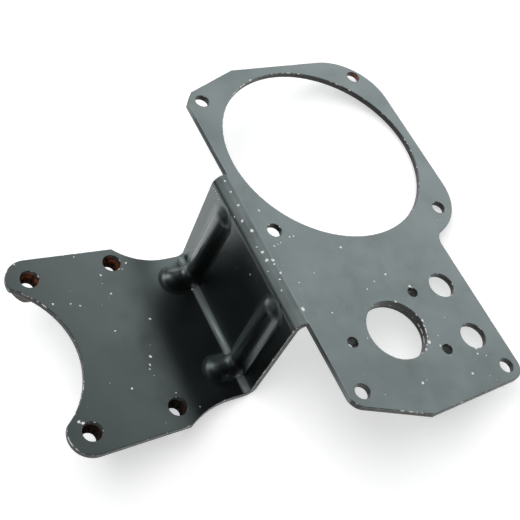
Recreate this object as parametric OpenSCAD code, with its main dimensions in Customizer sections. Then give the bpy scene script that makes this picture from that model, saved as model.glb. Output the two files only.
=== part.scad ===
// Instrument cluster bracket: a steel sheet folded twice into a step, with two ribs
// pressed across the lower bend, four weld nuts under the base plate and a tapped
// ring behind the small gauge's hole.
//
// Frame: +Z is up, out of both plates. The origin is the centre of the base plate's
// bolt pattern, on the plate's upper face. +X runs from the base plate to the dial
// plate, and +Y runs along the bends towards the large dial.

/* [Sheet] */
// Thickness of the sheet
sheet_t = 3; // [2:0.1:4]
// Inside radius of both bends
bend_r = 3; // [1:0.1:4]
// Height of the dial plate's upper face over the base plate's upper face
rise = 60; // [50:0.5:80]

/* [Base plate] */
// Bolt spacing towards the riser
bolt_pitch_x = 42; // [36:0.5:50]
// Bolt spacing along the bends
bolt_pitch_y = 81; // [76:0.5:90]
// Diameter of the bolt holes in the sheet
bolt_hole_d = 9; // [8.5:0.1:10]
// Sheet left round the outer bolt holes, in the two ears
ear_margin = 6.6; // [4.5:0.1:8]
// Radius of the round notch between the ears
notch_r = 44; // [40:0.5:50]
// Distance from the bolt pattern's centre to the notch
notch_gap = 12.2; // [6:0.1:16]
// Distance of the notch's centre from the bolt pattern's centre line
notch_shift = 1; // [0:0.1:3]
// Distance from the inner bolts to the end of the straight sides
shoulder_run = 3; // [1:0.1:6]
// Left end of the straight sides, from the bolt pattern's centre line
shoulder_left_y = 48.5; // [47.5:0.1:52]
// Right end of the straight sides, on the other side of the centre line
shoulder_right_y = 51; // [50:0.1:53]
// Distance from the inner bolts to the riser's face
foot_run = 37; // [32:0.5:45]
// Straight run beside the riser, after the curved shoulders
neck_run = 9.5; // [6:0.5:14]

/* [Riser] */
// Left edge of the riser at its head
riser_head_y = 40; // [39:0.5:43]
// Left edge of the riser at its foot
riser_foot_y = 37; // [35:0.5:39]
// Right edge of the riser, on the other side of the bolt pattern's centre line
riser_right_y = 44; // [42:0.5:46]

/* [Ribs] */
// Distance between the two ribs
rib_pitch = 52.5; // [46:0.5:56]
// Distance of the ribs' centre from the bolt pattern's centre line
rib_shift = 2.5; // [0:0.1:4]
// Outer radius of a rib's round section
rib_r = 7; // [6:0.1:8]
// Height of a rib over the sheet
rib_h = 4.2; // [3:0.1:6]
// Radius of a rib's crest where it turns up the riser
rib_turn_r = 3; // [2:0.1:5]
// Straight run of a rib on the base plate, before its round toe
rib_toe_run = 2; // [0.5:0.1:6]
// Radius of the fillet along a rib's foot
rib_foot_r = 4.5; // [1:0.1:6]
// Bare riser between a rib's end and the upper bend
rib_head_gap = 0.5; // [0.2:0.1:8]

/* [Dial plate] */
// Diameter of the large dial's hole
dial_d = 106; // [80:0.5:130]
// Distance of the large dial's centre from the bolt pattern's centre line
dial_y = 45; // [42:0.5:48]
// Distance from the large hole to the pitch circle of the dial's screws
dial_screw_margin = 12; // [9:0.5:16]
// Half angle between the screws on the riser's side
dial_near_angle = 38; // [35:0.5:41]
// Half angle between the screws on the far side
dial_far_angle = 44.5; // [42:0.5:47]
// Diameter of the screw holes in the dial plate
screw_hole_d = 7; // [6:0.1:7.6]
// Distance from the pitch circle of the dial's screws to the plate's clipped near corner
head_margin = 6.6; // [5.5:0.1:9]
// Sheet left beside the large hole at the plate's end
rim_end = 5.2; // [4:0.1:8]
// Sheet left beside the large hole at the plate's far side
rim_far = 5.9; // [4:0.1:8]
// Sheet left beside the large hole on the riser's side
rim_near = 6.5; // [4:0.1:8]
// Distance from the pitch circle of the dial's screws to the rounded far end corner
head_corner_margin = 5.4; // [4.5:0.1:7]
// Radius of the plate's far corner beside the lobe
head_round_r = 28; // [20:0.5:34]
// Distance from that corner's screw to the plate's edge
head_round_margin = 7.6; // [6:0.1:9]
// Distance from the plate's near side to where the cut corner starts
head_cut_run = 34.1; // [28:0.1:40]
// Slope of the cut corner
head_cut_angle = 22; // [18:0.5:26]
// Step from the upper bend to the plate's free edges
edge_step = 0; // [0:0.1:2.5]

/* [Gauge lobe] */
// Diameter of the small gauge's hole
gauge_d = 30; // [24:0.5:34]
// Sheet left between the large hole and the small gauge's hole, along the bends
gauge_gap = 35; // [30:0.5:45]
// Distance of the small gauge from the plate's near side
gauge_inset = 40.9; // [36:0.1:46]
// Distance from the small gauge's hole to the pitch circle of its screws
gauge_screw_margin = 10.2; // [8:0.1:12]
// Half angle between the two screws on the far side
gauge_far_angle = 38.5; // [35:0.5:42]
// Tapping diameter of the small gauge's screw holes
tapped_d = 5; // [4:0.1:5.5]
// Distance from the small gauge to the lobe's far side
lobe_run = 52.9; // [48:0.1:60]
// Diameter of the lamp holes
lamp_d = 13; // [10:0.1:15]
// Distance between the lamps
lamp_pitch = 28.6; // [26:0.1:32]
// Distance of the lamps from the lobe's far side
lamp_inset = 15.2; // [12:0.1:17]
// Distance from the small gauge to the lamps' middle, along the bends
lamp_shift = 1.2; // [-2:0.1:4]
// Distance from the small gauge to the near corner hole, along the bends
near_corner_run = 22.3; // [19:0.1:28]
// Distance from the small gauge to the far corner hole, along the bends
far_corner_run = 31.5; // [28:0.1:38]
// Radius of the lobe's round corners
corner_r = 7.4; // [6:0.1:8]
// Distance from the small gauge to the lobe's point, along the bends
point_run = 41.8; // [38:0.1:48]
// Distance of the lobe's point from the plate's near side
point_inset = 35.1; // [28:0.1:40]
// Radius in the inner corner between the head and the lobe
inner_corner_r = 8; // [5:0.1:10]

/* [Weld nuts] */
// Width of a nut across its flats
nut_flats = 13; // [13:0.1:15]
// Height of a nut
nut_h = 6.5; // [5:0.1:8]
// Tapping diameter of a nut
nut_bore_d = 6.8; // [6.5:0.1:7.2]
// Mouth of the countersink at both ends of a nut's thread
nut_mouth_d = 8.4; // [8:0.1:8.8]

/* [Gauge ring] */
// Thickness of the ring
ring_t = 2.5; // [2:0.1:4]
// Width of the ring outside the pitch circle of its screws
ring_margin = 5.8; // [4.5:0.1:7]

/* [Hidden] */

$fn = 96;
through = 1;
paint = [0.16, 0.17, 0.17];
bare_steel = [0.42, 0.36, 0.31];

outer_r = bend_r + sheet_t;
riser_x = bolt_pitch_x / 2 + foot_run;
bolt_places = [for (sx = [-1, 1], sy = [-1, 1]) [sx * bolt_pitch_x / 2, sy * bolt_pitch_y / 2]];
ears = [for (s = [-1, 1]) [-bolt_pitch_x / 2, s * bolt_pitch_y / 2]];
ear_r = bolt_hole_d / 2 + ear_margin;
notch_place = [-notch_gap - notch_r, notch_shift];
shoulder_x = bolt_pitch_x / 2 + shoulder_run;
neck_x = riser_x - neck_run;
bend_x = riser_x - bend_r;
rib_places = [for (s = [-1, 1]) s * rib_pitch / 2 - rib_shift];

// The rib's round section is centred behind the sheet's face, by its depth
rib_depth = rib_r - rib_h;
rib_sweep_r = rib_turn_r + rib_r;
rib_half_w = sqrt(pow(rib_r, 2) - pow(rib_depth, 2));
rib_sweep = [riser_x + rib_depth - rib_sweep_r, rib_sweep_r - rib_depth];
rib_head_z = rise - outer_r - rib_head_gap - rib_half_w;

// Half the width of a rib's foot, and where its fillet touches the round section
rib_foot_w = sqrt(pow(rib_r + rib_foot_r, 2) - pow(rib_foot_r + rib_depth, 2));
rib_foot_touch = [rib_foot_r + rib_depth, rib_foot_w] * rib_r / (rib_r + rib_foot_r);

// The dial plate's own places are measured from the large dial's centre
dial_pcd = dial_d + 2 * dial_screw_margin;
plate_edge = -dial_d / 2 - rim_near;
dial_place = [riser_x + outer_r + edge_step - plate_edge, dial_y];
head_r = dial_pcd / 2 + head_margin;
head_end = dial_d / 2 + rim_end;
head_side = dial_d / 2 + rim_far;
// The far end corner's arc is tangent to both sides and passes at its margin from the screws
head_corner_r = ((head_end + head_side) / sqrt(2) - dial_pcd / 2 - head_corner_margin) / (sqrt(2) - 1);
dial_screws = [for (a = [180 - dial_near_angle, 180 + dial_near_angle, dial_far_angle, -dial_far_angle])
    dial_pcd / 2 * [cos(a), sin(a)]];
// The far corner beside the lobe is tangent to the far side, at its margin from the last screw
head_round_x = head_side - head_round_r;
head_round = [head_round_x, dial_screws[3].y
    + sqrt(pow(head_round_r - head_round_margin, 2) - pow(dial_screws[3].x - head_round_x, 2))];

gauge_pcd = gauge_d + 2 * gauge_screw_margin;
gauge_place = [plate_edge + gauge_inset, -dial_d / 2 - gauge_gap - gauge_d / 2];
gauge_screws = [for (a = [180, gauge_far_angle, -gauge_far_angle])
    gauge_place + gauge_pcd / 2 * [cos(a), sin(a)]];
lobe_side = gauge_place.x + lobe_run;
lamp_places = [for (s = [-1, 1])
    [lobe_side - lamp_inset, gauge_place.y + lamp_shift + s * lamp_pitch / 2]];
near_corner = [plate_edge + corner_r, gauge_place.y - near_corner_run];
far_corner = [lobe_side - corner_r, gauge_place.y - far_corner_run];
point = [plate_edge + point_inset, gauge_place.y - point_run];
plain_screws = concat(dial_screws, [near_corner, far_corner]);
ring_d = gauge_pcd + 2 * ring_margin;

nut_corners_d = nut_flats / cos(30);
nut_chamfer = (nut_corners_d - nut_flats) / 2;

// Where the line from a point touches a circle; side is 1 or -1
function touch(from, centre, r, side) =
    let (d = from - centre, far = norm(d), a = atan2(d.y, d.x) + side * acos(r / far))
    centre + r * [cos(a), sin(a)];

// A quarter of a round bend, from +X to +Z about the Y axis
module bend(y0, y1) {
    rotate([90, 0, 0])
        rotate_extrude(angle = 90)
            translate([bend_r, -y1])
                square([sheet_t, y1 - y0]);
}

// One curved shoulder from the end of a straight side, at end_y, to the riser's edge, at side_y
module shoulder(end_y, side_y) {
    dx = neck_x - shoulder_x;
    dy = end_y - side_y;
    r = (pow(dx, 2) + pow(dy, 2)) / (2 * dy);
    difference() {
        translate([shoulder_x, side_y])
            square([dx, dy]);
        translate([neck_x, side_y + r])
            circle(r);
    }
}

module base_outline() {
    difference() {
        union() {
            polygon([
                notch_place,
                ears[0],
                touch([shoulder_x, -shoulder_right_y], ears[0], ear_r, -1),
                [shoulder_x, -shoulder_right_y],
                [shoulder_x, shoulder_left_y],
                touch([shoulder_x, shoulder_left_y], ears[1], ear_r, 1),
                ears[1],
            ]);
            for (place = ears)
                translate(place)
                    circle(ear_r);
            polygon([
                [shoulder_x, -riser_right_y],
                [bend_x, -riser_right_y],
                [bend_x, riser_foot_y],
                [shoulder_x, riser_foot_y],
            ]);
            shoulder(shoulder_left_y, riser_foot_y);
            mirror([0, 1])
                shoulder(shoulder_right_y, riser_right_y);
        }
        translate(notch_place)
            circle(notch_r);
        for (place = bolt_places)
            translate(place)
                circle(d = bolt_hole_d);
    }
}

// The head about the large dial, with one end corner cut off and the far corners rounded
module head_outline() {
    cut_x = plate_edge + head_cut_run;
    corner = [head_side - head_corner_r, head_end - head_corner_r];
    difference() {
        intersection() {
            circle(head_r);
            polygon([
                [plate_edge, head_round.y],
                [head_side, head_round.y],
                [head_side, head_end],
                [cut_x, head_end],
                [plate_edge, head_end - head_cut_run * tan(head_cut_angle)],
            ]);
        }
        difference() {
            translate(corner)
                square(head_corner_r + through);
            translate(corner)
                circle(head_corner_r);
        }
    }
    translate(head_round)
        circle(head_round_r);
}

// The lobe that carries the small gauge and the lamps
module lobe_outline() {
    polygon([
        [plate_edge, 0],
        [plate_edge, near_corner.y],
        touch(point, near_corner, corner_r, -1),
        point,
        touch(point, far_corner, corner_r, 1),
        [lobe_side, far_corner.y],
        [lobe_side, 0],
    ]);
    for (place = [near_corner, far_corner])
        translate(place)
            circle(corner_r);
}

// Fills the inner corner between the head and the lobe with a fillet
module inner_corner() {
    centre_x = lobe_side + inner_corner_r;
    rise_y = sqrt(pow(head_round_r + inner_corner_r, 2) - pow(centre_x - head_round.x, 2));
    centre = [centre_x, head_round.y - rise_y];
    difference() {
        polygon([
            [0, head_round.y],
            head_round,
            centre,
            [0, centre.y],
        ]);
        translate(centre)
            circle(inner_corner_r);
    }
}

module dial_outline() {
    difference() {
        union() {
            head_outline();
            lobe_outline();
            inner_corner();
        }
        circle(d = dial_d);
        translate(gauge_place)
            circle(d = gauge_d);
        for (place = lamp_places)
            translate(place)
                circle(d = lamp_d);
        for (place = plain_screws)
            translate(place)
                circle(d = screw_hole_d);
        for (place = gauge_screws)
            translate(place)
                circle(d = tapped_d);
    }
}

// A tube along a rib's route: a round end on the base, the turn, the run up the
// riser and a round end below the upper bend. The slot opens the groove backwards.
module rib_route(r, slot, footed) {
    translate([rib_sweep.x, 0, rib_sweep.y])
        rotate([0, 90, 0])
            rotate([90, 0, 0])
                rotate_extrude(angle = 90)
                    translate([rib_sweep_r, 0])
                        rib_section(r, slot, false);
    translate([rib_sweep.x + rib_sweep_r, 0, rib_sweep.y])
        linear_extrude(rib_head_z - rib_sweep.y)
            rib_section(r, slot, footed);
    translate([rib_sweep.x + rib_sweep_r, 0, rib_head_z])
        rotate([0, 90, 0])
            rib_end(r, slot, footed);
    translate([rib_sweep.x, 0, -rib_depth])
        rotate([0, 90, 180])
            linear_extrude(rib_toe_run)
                rib_section(r, slot, footed);
    translate([rib_sweep.x - rib_toe_run, 0, -rib_depth])
        rotate([180, 0, 0])
            rib_end(r, slot, footed);
}

// A rib's section: its crest points to -X, and the groove opens to +X
module rib_section(r, slot, footed) {
    circle(r);
    if (slot > 0)
        translate([0, -r])
            square([slot, 2 * r]);
    if (footed)
        rib_foot();
}

// The fillets on both sides of a rib, down to the middle of the sheet
module rib_foot() {
    difference() {
        polygon([
            [sheet_t / 2 - rib_depth, -rib_foot_w],
            [-rib_depth, -rib_foot_w],
            [-rib_foot_touch.x, -rib_foot_touch.y],
            [-rib_foot_touch.x, rib_foot_touch.y],
            [-rib_depth, rib_foot_w],
            [sheet_t / 2 - rib_depth, rib_foot_w],
        ]);
        for (s = [-1, 1])
            translate([-rib_depth - rib_foot_r, s * rib_foot_w])
                circle(rib_foot_r);
    }
}

// Half a ball towards -X, with a half cylinder of the groove towards +Z
module rib_end(r, slot, footed) {
    reach = 2 * rib_foot_w;
    rotate([0, 0, 90])
        rotate_extrude(angle = 180)
            intersection() {
                mirror([1, -1])
                    rib_section(r, slot, footed);
                translate([0, -reach])
                    square([reach, 2 * reach]);
            }
}

// The raised side of one rib, down to the middle of the sheet
module rib_bulge() {
    reach = rise;
    half_w = rib_foot_w + through;
    intersection() {
        union() {
            rib_route(rib_r, 0, true);
            // The feet run on straight into the corner of the lower bend
            translate([riser_x, 0, -rib_depth])
                rotate([0, 90, 180])
                    linear_extrude(riser_x - rib_sweep.x)
                        rib_foot();
            translate([rib_sweep.x + rib_sweep_r, 0, 0])
                linear_extrude(rib_sweep.y)
                    rib_foot();
        }
        translate([riser_x + sheet_t / 2 - reach, -half_w, -sheet_t / 2])
            cube([reach, 2 * half_w, reach]);
    }
}

module folded_sheet() {
    translate([0, 0, -sheet_t])
        linear_extrude(sheet_t)
            base_outline();
    translate([bend_x, 0, bend_r])
        rotate([0, 90, 0])
            bend(-riser_right_y, riser_foot_y);
    translate([riser_x, 0, 0])
        rotate([90, 0, 90])
            linear_extrude(sheet_t)
                polygon([
                    [-riser_right_y, bend_r],
                    [riser_foot_y, bend_r],
                    [riser_head_y, rise - outer_r],
                    [-riser_right_y, rise - outer_r],
                ]);
    translate([riser_x + outer_r, 0, rise - outer_r])
        rotate([0, -90, 0])
            bend(-riser_right_y, riser_head_y);
    // The tongue between the upper bend and the plate's free edges, run on into the rim
    translate([riser_x + outer_r, -riser_right_y, rise - sheet_t])
        cube([edge_step + rim_near / 2, riser_right_y + riser_head_y, sheet_t]);
    translate([dial_place.x, dial_place.y, rise - sheet_t])
        linear_extrude(sheet_t)
            dial_outline();
}

module bracket() {
    color(paint)
        difference() {
            union() {
                folded_sheet();
                for (y = rib_places)
                    translate([0, y, 0])
                        rib_bulge();
            }
            for (y = rib_places)
                translate([0, y, 0])
                    rib_route(rib_r - sheet_t, rib_r, false);
        }
}

// One hexagon nut, hanging below the base plate, with its outer corners turned off
module weld_nut() {
    difference() {
        intersection() {
            translate([0, 0, -nut_h])
                cylinder(h = nut_h, d = nut_corners_d, $fn = 6);
            rotate_extrude()
                polygon([
                    [0, 0],
                    [nut_corners_d / 2, 0],
                    [nut_corners_d / 2, nut_chamfer - nut_h],
                    [nut_flats / 2, -nut_h],
                    [0, -nut_h],
                ]);
        }
        translate([0, 0, -nut_h - through])
            cylinder(h = nut_h + 2 * through, d = nut_bore_d);
        for (turn = [0, 1])
            translate([0, 0, -turn * nut_h])
                mirror([0, 0, turn])
                    nut_mouth();
    }
}

// The countersink at one end of a nut's thread
module nut_mouth() {
    depth = (nut_mouth_d - nut_bore_d) / 2;
    translate([0, 0, -depth])
        cylinder(h = depth, d1 = nut_bore_d, d2 = nut_mouth_d);
}

module weld_nuts() {
    color(bare_steel)
        for (place = bolt_places)
            translate([place.x, place.y, -sheet_t])
                weld_nut();
}

module gauge_ring() {
    color(paint)
        translate([dial_place.x, dial_place.y, rise - sheet_t - ring_t])
            linear_extrude(ring_t)
                difference() {
                    translate(gauge_place)
                        circle(d = ring_d);
                    translate(gauge_place)
                        circle(d = gauge_d);
                    for (place = gauge_screws)
                        translate(place)
                            circle(d = tapped_d);
                }
}

bracket();
weld_nuts();
gauge_ring();
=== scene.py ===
# Looks of the instrument cluster bracket: paint, wear, rust, floor, light and camera.
# Everything is in the part's own frame, in metres, and in millimetres where a name ends in _MM.
import math

import bmesh
import bpy
from mathutils import Matrix, Vector
from mathutils.bvhtree import BVHTree
from mathutils.interpolate import poly_3d_calc


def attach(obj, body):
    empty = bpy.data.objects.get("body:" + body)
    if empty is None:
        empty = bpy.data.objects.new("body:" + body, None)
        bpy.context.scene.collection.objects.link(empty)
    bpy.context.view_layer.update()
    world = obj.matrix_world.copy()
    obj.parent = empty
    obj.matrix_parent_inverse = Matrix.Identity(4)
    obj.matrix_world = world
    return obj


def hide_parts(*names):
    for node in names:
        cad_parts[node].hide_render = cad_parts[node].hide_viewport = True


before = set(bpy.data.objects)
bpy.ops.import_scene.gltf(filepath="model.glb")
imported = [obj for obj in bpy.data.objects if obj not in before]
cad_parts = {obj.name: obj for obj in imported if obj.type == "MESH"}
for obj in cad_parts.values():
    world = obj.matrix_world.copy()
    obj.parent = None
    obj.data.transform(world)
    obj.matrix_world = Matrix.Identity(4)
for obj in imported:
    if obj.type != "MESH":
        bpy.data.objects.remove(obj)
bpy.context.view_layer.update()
scene = bpy.context.scene
MM = 0.001

# Camera
CAMERA_PLACE = Vector((-0.16801, -0.18552, 0.37807))
CAMERA_RIGHT = Vector((0.8312, -0.4341, 0.3473))
CAMERA_UP = Vector((0.1790, 0.8005, 0.5720))
LENS_MM = 67.3
SENSOR_MM = 36.0
NEAREST_SEEN = 0.01

# Floor: the part lies on its lower bend and on the dial plate's far edge
FLOOR_POINT = Vector((0.0582, 0.0, -0.0030))
FLOOR_TILT = math.radians(-25.8)
FLOOR_NORMAL = Vector((math.sin(FLOOR_TILT), 0.0, math.cos(FLOOR_TILT)))
FLOOR_REACH = 4.0
FLOOR_COLOUR = (0.72, 0.72, 0.72, 1.0)
# The floor's own glow, where it is seen and where the part mirrors it
SEEN_GLOW = 0.54
MIRRORED_GLOW = 0.8

# Lamp, straight above the floor point but for a small shift
LAMP_POWER = 11.0
LAMP_SIZE = 1.2
LAMP_HEIGHT = 1.3
LAMP_SHIFT = Vector((0.05, 0.1, 0.0))

# Sky windows: place as turn and rise in degrees, inner and outer angle in degrees, and level
MAIN_WINDOW = ((37, 23), 12, 33, 2.55)
SMALL_WINDOWS = (
    ((-19, 40), 3, 15, 3.0),
    ((-45, 18), 8, 28, 1.2),
    ((-85, 35), 5, 25, 0.3),
    ((2, 60), 5, 20, 0.25),
)
# Heights in the sky are sines of the rise: the main window's cut, and where walls fade into the ceiling
WINDOW_TOP = (0.6, 0.54)
CEILING_HEIGHT = 0.5
CEILING_LEVEL = 0.01
WALL_HEIGHT = 0.15
WALL_LEVEL = 0.15
SKY_COLOUR = (0.97, 1.0, 1.0, 1.0)
WHITE = (1.0, 1.0, 1.0, 1.0)

# The folded sheet, as in the part's source
SHEET_MM = 3.0
RISE_MM = 60.0
RISER_X_MM = 58.0
BEND_OUTER_MM = 6.0
# What counts as the riser and its bends along x; a wall this far from the middle along y is its side
RISER_ZONE_MM = (54.0, 64.5)
RISER_MIDDLE_MM = -3.0
RISER_HALF_MM = 38.0
# Height above which a place belongs to the dial plate or the upper bend
DIAL_FROM_MM = 0.9 * RISE_MM
# A cut wall's normal: how much of it is along y at least on the riser, and along z at most on a plate
RISER_WALL_Y = 0.9
PLATE_WALL_Z = 0.1
# Holes with rusty walls, and how near to their axes a wall is for rust to start and to be full
RUSTY_HOLES_MM = ((-21.0, 40.5), (21.0, 40.5), (169.9, 90.6))
RUST_REACH_MM = (7.0, 6.0)

# Ribs: middles, half widths where easing starts and is full, reach along x, and share of height kept
RIBS_Y_MM = (23.75, -28.75)
RIB_HALF_MM = (9.5, 6.5)
RIB_REACH_MM = 20.0
RIB_EASE = 0.65
# How far a rib's surface leans: up to the first share it is over the base, from the second over the riser
RIB_LEAN = (0.15, 0.85)
# How far off the base and the riser a place is, at least, to be on a rib
SKIN_MM = 0.01

# Mesh of the sheet and the ring: edge rounding, and distances for finding the CAD surface and for welding
EDGE_MM = 0.35
NEAR_MM = 0.02
WELD_MM = 0.001
FLAT_ANGLE = math.radians(0.5)
SHARP_ANGLE = math.radians(40)
PAINT, EDGE, WALL = range(3)

# A mark of the press brake, a line beside the upper bend, and a painted highlight along both bends, each
# from its outer limit to full
PRESS_LINE_MM = 64.2
PRESS_LINE_HALF_MM = (0.45, 0.1)
PRESS_LINE_Y_MM = (-43.0, 38.0)
# Painted highlight: inside the lower bend's fillet and over the upper bend's arc
LOWER_HIGHLIGHT_X_MM = (54.3, 55.7)
LOWER_HIGHLIGHT_Z_MM = (2.8, 1.9)
UPPER_HIGHLIGHT_X_MM = (65.0, 62.5)
UPPER_HIGHLIGHT_Z_MM = (56.0, 57.6)

# Weld nuts
BOLT_X_MM = 21.0
BOLT_Y_MM = 40.5
NUT_FLATS_MM = 13.0
NUT_HEIGHT_MM = 6.5
NUT_BORE_MM = 6.8
NUT_MOUTH_MM = 8.4
# The lower face's circle stays this much inside the flats
NUT_EDGE_MM = 0.02
# Where rust grows from little to full, down the bore and across the part
NUT_RUST_Z_MM = (-SHEET_MM - 3.0, -SHEET_MM - 0.5)
NUT_RUST_Y_MM = (-20.0, 20.0)
NUT_STEPS = 52
NUT_TURNS = 72
NUT_CREASE = math.radians(25)
THREAD_PITCH_MM = 1.25
THREAD_DEPTH_MM = 0.6

# Colours and gloss
PAINT_BLACK = (0.0025, 0.0028, 0.003, 1.0)
DUST_BROWN = (0.15, 0.125, 0.095, 1.0)
# Grey painted as a highlight along the two bends
BEND_HIGHLIGHT_GREY = (0.14, 0.16, 0.162, 1.0)
CHIP_WHITE = (0.80, 0.80, 0.77, 1.0)
EDGE_BLACK = (0.004, 0.0042, 0.0045, 1.0)
EDGE_STEEL = (0.72, 0.71, 0.67, 1.0)
WALL_DARK = (0.003, 0.003, 0.003, 1.0)
WALL_LIGHT = (0.012, 0.011, 0.010, 1.0)
WALL_RUST = (0.20, 0.065, 0.022, 1.0)
NUT_DARK = (0.010, 0.0095, 0.009, 1.0)
NUT_RUST = (0.24, 0.075, 0.028, 1.0)
PAINT_GLOSS = {"IOR": 2.05, "Specular Tint": (0.86, 1.0, 1.0, 1.0)}
WALL_GLOSS = {"IOR": 1.45}
NUT_GLOSS = {"Metallic": 0.35}

# Larger paint chips, as x, y and relative radius
CHIP_SCALE = 0.72
CHIP_RAGGED_MM = 1.3
BASE_CHIPS_MM = (
    (28, 39, 0.8), (25, 36, 0.6), (13, 35, 0.7), (14, 24, 0.7), (-15, 25, 0.8), (-7, 23, 0.5),
    (-3, 21, 0.7), (27, 6, 0.8), (8, 4, 0.7), (19, -13, 1.2), (17, -17, 0.8), (16, -19, 0.7),
    (4, -26, 0.8), (23, -34, 0.5), (4, 48, 0.5), (-25, 50, 0.6), (-25, -34.5, 1.1), (-23.5, -35.5, 1.1),
)
DIAL_CHIPS_MM = (
    (101, -11, 1.0), (80, -21, 0.6), (116, -30, 0.8), (108, -32, 0.6), (102, -35, 0.6), (78, -42, 0.7),
    (125, -39, 1.0), (88, -58, 0.6), (117, -68, 0.8), (124, -66, 0.6), (122, -71, 0.7), (124, -77, 0.5),
    (139, -80, 0.7), (143, -82, 0.6), (130, -88, 1.0), (102, -85, 1.0), (78, 0, 0.7), (80, 0, 0.7),
    (68, -3, 0.7), (70, -2.5, 0.5), (72, -2, 0.6), (70, 17, 0.9), (70, -24, 0.6), (65, -37, 1.1),
)
BEND_CHIPS_MM = (
    (61.5, 36.5, 0.7), (61.5, 30, 0.7), (61.5, 22, 1.0), (60, 14, 0.9), (61.5, 7.5, 1.1), (61, -4.5, 1.1),
    (61, -9, 1.2), (63.5, -10, 1.1), (63, -12, 0.7), (63.7, -17, 0.9), (62, -20, 0.7), (58.6, 18, 0.7),
    (60, -1, 0.6), (59.5, -14, 0.6), (60.5, -25, 0.6), (65, -36.5, 1.1),
)
RIM_CHIPS_MM = (
    (106, 94.3, 2.2), (102, 92.4, 1.2), (100, 90.9, 1.5), (95, 88.5, 1.5), (90.6, 85, 1.0),
    (129.5, 96.3, 1.2), (132.1, 96, 1.2), (138, 94, 0.8), (156, 86.5, 1.0), (162, 81.5, 0.8),
    (173, 63, 0.8), (120.7, -57.1, 1.0), (117.5, -67.9, 1.4), (113.6, -70.9, 0.8), (112.7, -44.6, 0.9),
    (140, -77, 1.2),
)
# Chips on the riser, as y, z and relative radius; the first five are the row of dots under the bend
RISER_CHIPS_MM = (
    (37, 53.9, 0.5), (35.6, 53.7, 0.6), (34.2, 53.5, 0.5), (32.8, 53.3, 0.6), (31.2, 53, 0.6),
    (-7.6, 46.8, 0.5), (1, 40, 0.4), (-20, 38, 0.4),
)
# Stretches of edge that have lost most of their paint, as x, y and radius
WORN_STRETCHES_MM = (
    (-24, 29, 9), (-29.5, -44, 6), (97, 90, 12), (117, -62, 9), (133, 96, 6), (87, -96, 8), (63, 55, 10),
    (-15, -20, 5),
)


class Tree:
    """Short ways to add and join shader nodes."""

    def __init__(self, tree):
        self.tree = tree
        tree.nodes.clear()

    def add(self, kind, **settings):
        node = self.tree.nodes.new(kind)
        for key, value in settings.items():
            setattr(node, key, value)
        return node

    def feed(self, socket, value):
        if isinstance(value, bpy.types.NodeSocket):
            self.tree.links.new(value, socket)
        else:
            socket.default_value = value

    def feed_all(self, node, values):
        for socket, value in zip(node.inputs, values):
            self.feed(socket, value)

    def place(self):
        return self.add("ShaderNodeTexCoord").outputs["Object"]

    def axes(self, where):
        node = self.add("ShaderNodeSeparateXYZ")
        self.feed(node.inputs[0], where)
        return node.outputs

    def math(self, operation, *values):
        node = self.add("ShaderNodeMath", operation=operation)
        self.feed_all(node, values)
        return node.outputs[0]

    def vector(self, operation, *values):
        node = self.add("ShaderNodeVectorMath", operation=operation)
        self.feed_all(node, values)
        return node.outputs["Value" if operation in ("DOT_PRODUCT", "DISTANCE") else "Vector"]

    def scaled(self, where, factor):
        node = self.add("ShaderNodeVectorMath", operation="SCALE")
        self.feed(node.inputs["Vector"], where)
        node.inputs["Scale"].default_value = factor
        return node.outputs["Vector"]

    def ramp(self, value, low, high, out_low=0.0, out_high=1.0):
        """Goes smoothly from one level to another while the value goes from low to high."""
        node = self.add("ShaderNodeMapRange", interpolation_type="SMOOTHSTEP")
        self.feed_all(node, (value, low, high, out_low, out_high))
        return node.outputs[0]

    def ramp_mm(self, value, ends, out_low=0.0, out_high=1.0):
        """A ramp between two ends in millimetres."""
        return self.ramp(value, ends[0] * MM, ends[1] * MM, out_low, out_high)

    def noise(self, where, scale, detail=3.0, roughness=0.5, output="Fac"):
        node = self.add("ShaderNodeTexNoise")
        self.feed(node.inputs["Vector"], where)
        node.inputs["Scale"].default_value = scale
        node.inputs["Detail"].default_value = detail
        node.inputs["Roughness"].default_value = roughness
        return node.outputs[output]

    def mix(self, kind, share, first, second):
        node = self.add("ShaderNodeMix", data_type=kind)
        self.feed(node.inputs["Factor"], share)
        self.feed(node.inputs["A"], first)
        self.feed(node.inputs["B"], second)
        return node.outputs["Result"]

    def blend(self, share, first, second):
        return self.mix("RGBA", share, first, second)

    def lerp(self, share, first, second):
        return self.mix("FLOAT", share, first, second)

    def chain(self, operation, values):
        """Joins all the values by one operation, such as MAXIMUM, MINIMUM or MULTIPLY."""
        result = values[0]
        for value in values[1:]:
            result = self.math(operation, result, value)
        return result

    def bump(self, height, strength, depth_mm):
        node = self.add("ShaderNodeBump")
        node.inputs["Strength"].default_value = strength
        node.inputs["Distance"].default_value = depth_mm * MM
        self.feed(node.inputs["Height"], height)
        return node.outputs[0]

    def principled(self, gloss, colour, rough):
        node = self.add("ShaderNodeBsdfPrincipled")
        for name, value in gloss.items():
            node.inputs[name].default_value = value
        self.feed(node.inputs["Base Color"], colour)
        self.feed(node.inputs["Roughness"], rough)
        return node

    def join(self, kind, *values):
        """Adds a shader node of this kind, fed with shaders after any share."""
        node = self.add(kind)
        sockets = [v.outputs[0] if isinstance(v, bpy.types.Node) else v for v in values]
        self.feed_all(node, sockets)
        return node

    def close(self, shader, kind="ShaderNodeOutputMaterial"):
        out = self.add(kind)
        self.feed(out.inputs["Surface"], shader.outputs[0])


def new_material(name):
    material = bpy.data.materials.new(name)
    material.use_nodes = True
    return material, Tree(material.node_tree)


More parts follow.
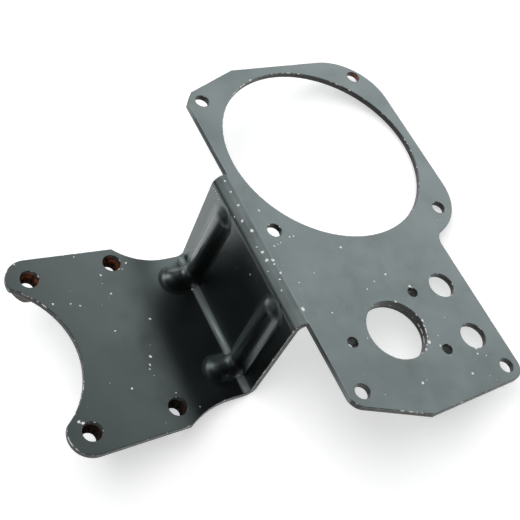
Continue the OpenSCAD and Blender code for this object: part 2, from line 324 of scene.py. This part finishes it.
def make_camera():
    back = CAMERA_RIGHT.cross(CAMERA_UP)
    data = bpy.data.cameras.new("camera")
    data.sensor_width = SENSOR_MM
    data.lens = LENS_MM
    data.clip_start = NEAREST_SEEN
    camera = bpy.data.objects.new("camera", data)
    turn = Matrix((CAMERA_RIGHT, CAMERA_UP, back)).transposed()
    camera.matrix_world = Matrix.Translation(CAMERA_PLACE) @ turn.to_4x4()
    scene.collection.objects.link(camera)
    scene.camera = camera


def studio_way(turn, rise):
    """A direction over the floor, in degrees: turned right from straight away, and raised."""
    back_way = FLOOR_NORMAL.cross(CAMERA_RIGHT)
    turn = math.radians(turn)
    rise = math.radians(rise)
    flat_way = math.cos(turn) * back_way + math.sin(turn) * CAMERA_RIGHT
    return tuple(math.cos(rise) * flat_way + math.sin(rise) * FLOOR_NORMAL)


def soft_window(t, way, place, inner, outer, level):
    """A round patch of sky, as bright as level inside and fading out between two angles in degrees."""
    near = t.vector("DOT_PRODUCT", way, studio_way(*place))
    return t.ramp(near, math.cos(math.radians(outer)), math.cos(math.radians(inner)), 0.0, level)


def make_world():
    world = bpy.data.worlds.new("studio")
    world.use_nodes = True
    scene.world = world
    t = Tree(world.node_tree)
    way = t.add("ShaderNodeTexCoord").outputs["Generated"]
    height = t.vector("DOT_PRODUCT", way, tuple(FLOOR_NORMAL))
    # A wide low window behind the part on the right, cut off level at its top
    main = t.math("MULTIPLY", soft_window(t, way, *MAIN_WINDOW), t.ramp(height, *WINDOW_TOP))
    # Smaller windows on the left and high up, and dim walls under a dark ceiling
    small = [soft_window(t, way, *window) for window in SMALL_WINDOWS]
    room = t.ramp(height, CEILING_HEIGHT, WALL_HEIGHT, CEILING_LEVEL, WALL_LEVEL)
    sky = t.add("ShaderNodeBackground")
    sky.inputs["Color"].default_value = SKY_COLOUR
    t.feed(sky.inputs["Strength"], t.chain("MAXIMUM", [main, *small, room]))
    # The camera itself sees plain white
    white = t.add("ShaderNodeBackground")
    white.inputs["Color"].default_value = WHITE
    seen = t.add("ShaderNodeLightPath").outputs["Is Camera Ray"]
    t.close(t.join("ShaderNodeMixShader", seen, sky, white), "ShaderNodeOutputWorld")


def make_lamp():
    data = bpy.data.lights.new("soft_box", "AREA")
    data.shape = "DISK"
    data.size = LAMP_SIZE
    data.energy = LAMP_POWER
    lamp = bpy.data.objects.new("soft_box", data)
    place = FLOOR_POINT + LAMP_HEIGHT * FLOOR_NORMAL + LAMP_SHIFT
    turn = FLOOR_NORMAL.to_track_quat("Z", "Y").to_matrix().to_4x4()
    lamp.matrix_world = Matrix.Translation(place) @ turn
    lamp.visible_glossy = False
    scene.collection.objects.link(lamp)


def make_paper():
    """Pale floor paper with a glow of its own, clear from below."""
    material, t = new_material("floor")
    paper = t.add("ShaderNodeBsdfDiffuse")
    paper.inputs["Color"].default_value = FLOOR_COLOUR
    rays = t.add("ShaderNodeLightPath").outputs
    seen = t.math("MAXIMUM", rays["Is Camera Ray"], rays["Is Transmission Ray"])
    mirrored = t.math("MULTIPLY", rays["Is Glossy Ray"], MIRRORED_GLOW)
    glow = t.add("ShaderNodeEmission")
    t.feed(glow.inputs["Strength"], t.math("MULTIPLY_ADD", seen, SEEN_GLOW, mirrored))
    upper_side = t.join("ShaderNodeAddShader", paper, glow)
    lower_side = t.add("ShaderNodeBsdfTransparent")
    below = t.add("ShaderNodeNewGeometry").outputs["Backfacing"]
    t.close(t.join("ShaderNodeMixShader", below, upper_side, lower_side))
    return material


def make_floor():
    mesh = bpy.data.meshes.new("floor")
    sides = ((-1, -1), (1, -1), (1, 1), (-1, 1))
    mesh.from_pydata([(FLOOR_REACH * x, FLOOR_REACH * y, 0) for x, y in sides], [], [(0, 1, 2, 3)])
    mesh.materials.append(make_paper())
    floor = bpy.data.objects.new("floor", mesh)
    floor.matrix_world = Matrix.Translation(FLOOR_POINT) @ Matrix.Rotation(FLOOR_TILT, 4, "Y")
    scene.collection.objects.link(floor)


def top_height_mm(x):
    """Height of the sheet's upper face at x: the base plate, the upper bend's arc or the dial plate."""
    if x < RISER_X_MM:
        return 0.0
    across = max(RISER_X_MM + BEND_OUTER_MM - x, 0.0)
    return RISE_MM - BEND_OUTER_MM + math.sqrt(BEND_OUTER_MM ** 2 - across ** 2)


def on_top(places):
    return [(Vector((x, y, top_height_mm(x))) * MM, radius) for x, y, radius in places]


def on_riser(places):
    return [(Vector((RISER_X_MM, y, z)) * MM, radius) for y, z, radius in places]


def spots(t, where, places):
    """1 inside the nearest of some round spots, 0 outside all of them."""
    shares = []
    for centre, radius in places:
        shares.append(t.math("DIVIDE", t.vector("DISTANCE", where, centre), CHIP_SCALE * radius * MM))
    return t.ramp(t.chain("MINIMUM", shares), 1.0, 0.75)


def specks(t, where, scale, share, radius):
    """Random round specks; share is how many cells have one, radius is in cells."""
    cells = t.add("ShaderNodeTexVoronoi")
    t.feed(cells.inputs["Vector"], where)
    cells.inputs["Scale"].default_value = scale
    chance = t.add("ShaderNodeSeparateColor")
    t.feed(chance.inputs[0], cells.outputs["Color"])
    chosen = t.math("LESS_THAN", chance.outputs[0], share)
    size = t.math("MULTIPLY_ADD", chance.outputs[1], 0.6 * radius, 0.4 * radius)
    inside = t.math("LESS_THAN", cells.outputs["Distance"], size)
    return t.math("MULTIPLY", chosen, inside)


def bend_highlights(t, axes):
    """1 where a highlight is painted along the bends: inside the lower bend and over the upper one."""
    lower_x = t.ramp_mm(axes["X"], LOWER_HIGHLIGHT_X_MM)
    lower_z = t.ramp_mm(axes["Z"], LOWER_HIGHLIGHT_Z_MM)
    front = t.math("GREATER_THAN", axes["Z"], -0.5 * SHEET_MM * MM)
    lower = t.chain("MULTIPLY", [lower_x, lower_z, front])
    upper_x = t.ramp_mm(axes["X"], UPPER_HIGHLIGHT_X_MM)
    upper_z = t.ramp_mm(axes["Z"], UPPER_HIGHLIGHT_Z_MM)
    return t.math("MAXIMUM", lower, t.math("MULTIPLY", upper_x, upper_z))


def press_line(t, axes, upper):
    """1 along the press brake's line beside the upper bend."""
    gap = t.math("ABSOLUTE", t.math("SUBTRACT", axes["X"], PRESS_LINE_MM * MM))
    start = t.math("GREATER_THAN", axes["Y"], PRESS_LINE_Y_MM[0] * MM)
    end = t.math("LESS_THAN", axes["Y"], PRESS_LINE_Y_MM[1] * MM)
    return t.chain("MULTIPLY", [t.ramp_mm(gap, PRESS_LINE_HALF_MM), upper, start, end])


def make_paint():
    """Semi-gloss black paint with chips, dust, dull patches, the press brake's line and a highlight
    painted along the bends.
    """
    material, t = new_material("black_paint")
    where = t.place()
    axes = t.axes(where)
    upper = t.math("GREATER_THAN", axes["Z"], DIAL_FROM_MM * MM)
    # Chips have ragged outlines
    warp = t.vector("SUBTRACT", t.noise(where, scale=1300.0, detail=2.0, output="Color"), (0.5, 0.5, 0.5))
    ragged = t.vector("ADD", where, t.scaled(warp, CHIP_RAGGED_MM * MM))
    chips = t.chain("MAXIMUM", [
        spots(t, ragged, on_top(BASE_CHIPS_MM + DIAL_CHIPS_MM + BEND_CHIPS_MM + RIM_CHIPS_MM)),
        spots(t, ragged, on_riser(RISER_CHIPS_MM)),
        specks(t, ragged, scale=420.0, share=0.05, radius=0.12),
    ])
    # Handling marks: dull patches everywhere, and brownish dust on the dial plate
    patches = t.noise(where, scale=34.0, detail=5.0, roughness=0.6)
    grime = t.ramp(t.noise(where, scale=75.0, detail=6.0, roughness=0.65), 0.5, 0.72)
    grains = t.ramp(t.noise(where, scale=900.0), 0.42, 0.7)
    dust = t.chain("MULTIPLY", [grime, grains, upper, 0.3])
    # A highlight painted in grey along the bends, blotched by the dull patches
    painted_highlight = t.math("MULTIPLY", bend_highlights(t, axes), t.ramp(patches, 0.25, 0.6, 0.6, 1.0))
    colour = t.blend(dust, PAINT_BLACK, DUST_BROWN)
    colour = t.blend(painted_highlight, colour, BEND_HIGHLIGHT_GREY)
    colour = t.blend(chips, colour, CHIP_WHITE)
    rough = t.ramp(patches, 0.3, 0.7, 0.30, 0.38)
    rough = t.math("ADD", rough, t.math("MULTIPLY", grime, 0.05))
    rough = t.lerp(chips, rough, 0.6)
    # The paint's fine grain, with chips and the line sunk in it
    height = t.math("MULTIPLY", t.noise(where, scale=1100.0, detail=2.0), 0.12)
    height = t.math("SUBTRACT", height, t.math("MULTIPLY", chips, 0.6))
    height = t.math("SUBTRACT", height, t.math("MULTIPLY", press_line(t, axes, upper), 0.2))
    shader = t.principled(PAINT_GLOSS, colour, rough)
    t.feed(shader.inputs["Normal"], t.bump(height, strength=0.5, depth_mm=0.12))
    t.close(shader)
    return material


def make_worn_edge():
    """Paint on the rounded edges, worn to bare steel here and there."""
    material, t = new_material("worn_edge")
    where = t.place()
    stretches = [t.ramp(t.noise(where, scale=30.0), 0.48, 0.64, 0.0, 0.06)]
    for centre, radius in on_top(WORN_STRETCHES_MM):
        gap = t.vector("DISTANCE", where, centre)
        stretches.append(t.ramp_mm(gap, (radius, 0.6 * radius), 0.0, 0.12))
    grain = t.noise(where, scale=420.0, detail=4.0, roughness=0.65)
    bare = t.ramp(t.math("ADD", grain, t.chain("MAXIMUM", stretches)), 0.6, 0.65)
    bare = t.math("MAXIMUM", bare, spots(t, where, on_top(RIM_CHIPS_MM)))
    t.close(t.principled(PAINT_GLOSS, t.blend(bare, EDGE_BLACK, EDGE_STEEL), t.lerp(bare, 0.3, 0.5)))
    return material


def make_cut_wall():
    """Dull paint on the sheet's cut edges, rusted through in a few holes."""
    material, t = new_material("cut_wall")
    where = t.place()
    axes = t.axes(where)
    flat = t.add("ShaderNodeCombineXYZ")
    t.feed(flat.inputs["X"], axes["X"])
    t.feed(flat.inputs["Y"], axes["Y"])
    holes = [(x * MM, y * MM, 0.0) for x, y in RUSTY_HOLES_MM]
    gap = t.chain("MINIMUM", [t.vector("DISTANCE", flat.outputs[0], hole) for hole in holes])
    blotches = t.ramp(t.noise(where, scale=260.0, detail=4.0), 0.4, 0.6)
    rust = t.math("MULTIPLY", t.ramp_mm(gap, RUST_REACH_MM), blotches)
    grain = t.noise(where, scale=700.0, detail=4.0)
    colour = t.blend(rust, t.blend(grain, WALL_DARK, WALL_LIGHT), WALL_RUST)
    shader = t.principled(WALL_GLOSS, colour, t.ramp(grain, 0.3, 0.7, 0.35, 0.6))
    t.feed(shader.inputs["Normal"], t.bump(grain, strength=0.4, depth_mm=0.1))
    t.close(shader)
    return material


def make_nut_steel():
    """Dark steel; rust sits in the upper mouths, and most on the two nuts towards the large dial."""
    material, t = new_material("rusty_nut")
    where = t.place()
    axes = t.axes(where)
    side = t.ramp_mm(axes["Y"], NUT_RUST_Y_MM, 0.12, 1.0)
    mouth = t.ramp_mm(axes["Z"], NUT_RUST_Z_MM, 0.15, 1.0)
    grain = t.noise(where, scale=480.0, detail=5.0, roughness=0.6)
    rust = t.chain("MULTIPLY", [side, mouth, t.ramp(grain, 0.35, 0.6)])
    shader = t.principled(NUT_GLOSS, t.blend(rust, NUT_DARK, NUT_RUST), t.lerp(rust, 0.38, 0.75))
    t.feed(shader.inputs["Normal"], t.bump(grain, strength=0.5, depth_mm=0.1))
    t.close(shader)
    return material


def is_cut(face):
    """True on the walls that a cutter left: the sheet's own edges and its holes."""
    centre = face.calc_center_median() / MM
    normal = face.normal
    if RISER_ZONE_MM[0] < centre.x < RISER_ZONE_MM[1]:
        return abs(normal.y) > RISER_WALL_Y and abs(centre.y - RISER_MIDDLE_MM) > RISER_HALF_MM
    on_plate = centre.z > RISE_MM - 2 * SHEET_MM or centre.z < 0.0
    return on_plate and abs(normal.z) < PLATE_WALL_Z


def smooth_step(value, low, high):
    share = min(max((value - low) / (high - low), 0.0), 1.0)
    return share * share * (3.0 - 2.0 * share)


def rib_share(spot):
    """1 on the ribs' front, fading to 0 beside them; takes a place in metres."""
    x, y, z = spot / MM
    gap = min(abs(y - rib) for rib in RIBS_Y_MM)
    before_riser = RISER_X_MM - RIB_REACH_MM < x < RISER_X_MM - SKIN_MM
    over_base = SKIN_MM < z < RISE_MM - SHEET_MM
    return smooth_step(gap, *RIB_HALF_MM) if before_riser and over_base else 0.0


def ease_ribs(bm):
    """Presses the ribs' front shallower over the base plate and over the riser alike."""
    low, high = RIB_LEAN
    for vert in bm.verts:
        share = rib_share(vert.co)
        if share == 0.0:
            continue
        over_base = vert.co.z
        over_riser = RISER_X_MM * MM - vert.co.x
        lean = over_base / (over_base + over_riser)
        ease = share * (1.0 - RIB_EASE)
        vert.co.z = over_base * (1.0 - ease * smooth_step(lean, high, low))
        vert.co.x = RISER_X_MM * MM - over_riser * (1.0 - ease * smooth_step(lean, low, high))


def surface_normals(mesh, source):
    """Sets normals: the mesh's own on the ribs, the CAD's elsewhere, and their neighbours' on edges."""
    tree = BVHTree.FromPolygons([v.co for v in source.vertices], [p.vertices for p in source.polygons])
    corners = source.corner_normals
    normals = [None] * len(mesh.loops)
    kept = {}

    def cad_normal(spot, about):
        choices = []
        for _, _, index, _ in tree.find_nearest_range(spot, NEAR_MM * MM):
            near = source.polygons[index]
            shares = poly_3d_calc([source.vertices[i].co for i in near.vertices], spot)
            parts = [share * corners[i].vector for share, i in zip(shares, near.loop_indices)]
            choices.append(sum(parts, Vector()))
        return max(choices or [about], key=about.dot).normalized()

    for face in mesh.polygons:
        if face.material_index == EDGE:
            continue
        for corner in face.loop_indices:
            vert = mesh.vertices[mesh.loops[corner].vertex_index]
            on_rib = rib_share(vert.co) > 0.0
            normals[corner] = vert.normal.copy() if on_rib else cad_normal(vert.co, face.normal)
            kept.setdefault(vert.index, []).append(normals[corner])
    for face in mesh.polygons:
        if face.material_index != EDGE:
            continue
        for corner in face.loop_indices:
            vert = mesh.vertices[mesh.loops[corner].vertex_index]
            normals[corner] = max(kept.get(vert.index, [vert.normal.copy()]), key=face.normal.dot)
    mesh.normals_split_custom_set(normals)


def rounded_copy(node_name, piece_name, materials):
    """Makes a copy of a CAD node with its cut edges rounded; takes paint, edge and wall materials."""
    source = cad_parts[node_name].data
    mesh = bpy.data.meshes.new(piece_name)
    bm = bmesh.new()
    bm.from_mesh(source)
    bmesh.ops.remove_doubles(bm, verts=bm.verts, dist=WELD_MM * MM)
    bmesh.ops.dissolve_limit(bm, angle_limit=FLAT_ANGLE, verts=bm.verts, edges=bm.edges)
    for face in bm.faces:
        face.smooth = True
        face.material_index = WALL if is_cut(face) else PAINT
    sharp = [e for e in bm.edges if e.is_manifold and e.calc_face_angle() > SHARP_ANGLE]
    sharp = [e for e in sharp if any(f.material_index == WALL for f in e.link_faces)]
    bmesh.ops.bevel(bm, geom=sharp, offset=EDGE_MM * MM, segments=2, profile=0.6, affect="EDGES",
                    clamp_overlap=False, material=EDGE)
    ease_ribs(bm)
    bm.to_mesh(mesh)
    bm.free()
    surface_normals(mesh, source)
    for material in materials:
        mesh.materials.append(material)
    piece = bpy.data.objects.new(piece_name, mesh)
    scene.collection.objects.link(piece)
    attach(piece, "root")
    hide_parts(node_name)


def nut_section(angle):
    """The nut's closed outline at one angle round its axis, as radius and height in mm."""
    low = -SHEET_MM - NUT_HEIGHT_MM
    high = -SHEET_MM
    points = []
    for i in range(NUT_STEPS + 1):
        z = high + (low - high) * i / NUT_STEPS
        turn = (z / THREAD_PITCH_MM - angle / math.tau) % 1.0
        groove = THREAD_DEPTH_MM * (1.0 - abs(2.0 * turn - 1.0))
        mouth = NUT_MOUTH_MM / 2 - min(high - z, z - low)
        points.append((max(NUT_BORE_MM / 2 + groove, mouth), z))
    across = (angle + math.pi / 6) % (math.pi / 3) - math.pi / 6
    side = NUT_FLATS_MM / 2 / math.cos(math.pi / 6 - abs(across))
    chamfer = side - NUT_FLATS_MM / 2
    points.append((NUT_FLATS_MM / 2 - NUT_EDGE_MM, low))
    points.append((side, low + chamfer))
    points.append((side, high))
    return points


def add_nut(bm, x, y):
    """Adds one nut on the axis at x and y: a ring of sections, each joined to the next."""
    rings = []
    for k in range(NUT_TURNS):
        angle = math.tau * k / NUT_TURNS
        ring = []
        for radius, z in nut_section(angle):
            spot = Vector((x + radius * math.cos(angle), y + radius * math.sin(angle), z))
            ring.append(bm.verts.new(spot * MM))
        rings.append(ring)
    for k in range(NUT_TURNS):
        here = rings[k]
        there = rings[(k + 1) % NUT_TURNS]
        for i in range(len(here)):
            j = (i + 1) % len(here)
            bm.faces.new((here[i], here[j], there[j], there[i]))


def make_nuts(material):
    mesh = bpy.data.meshes.new("threaded_nuts")
    bm = bmesh.new()
    for x in (-BOLT_X_MM, BOLT_X_MM):
        for y in (-BOLT_Y_MM, BOLT_Y_MM):
            add_nut(bm, x, y)
    bmesh.ops.recalc_face_normals(bm, faces=bm.faces)
    for face in bm.faces:
        face.smooth = True
    for edge in bm.edges:
        edge.smooth = edge.calc_face_angle() < NUT_CREASE
    bm.to_mesh(mesh)
    bm.free()
    mesh.materials.append(material)
    piece = bpy.data.objects.new("threaded_nuts", mesh)
    scene.collection.objects.link(piece)
    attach(piece, "root")
    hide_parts("weld_nuts")


make_camera()
make_world()
make_lamp()
make_floor()
finishes = [make_paint(), make_worn_edge(), make_cut_wall()]
rounded_copy("bracket", "folded_sheet", finishes)
rounded_copy("gauge_ring", "backing_ring", finishes)
make_nuts(make_nut_steel())

scene.view_settings.view_transform = "Standard"
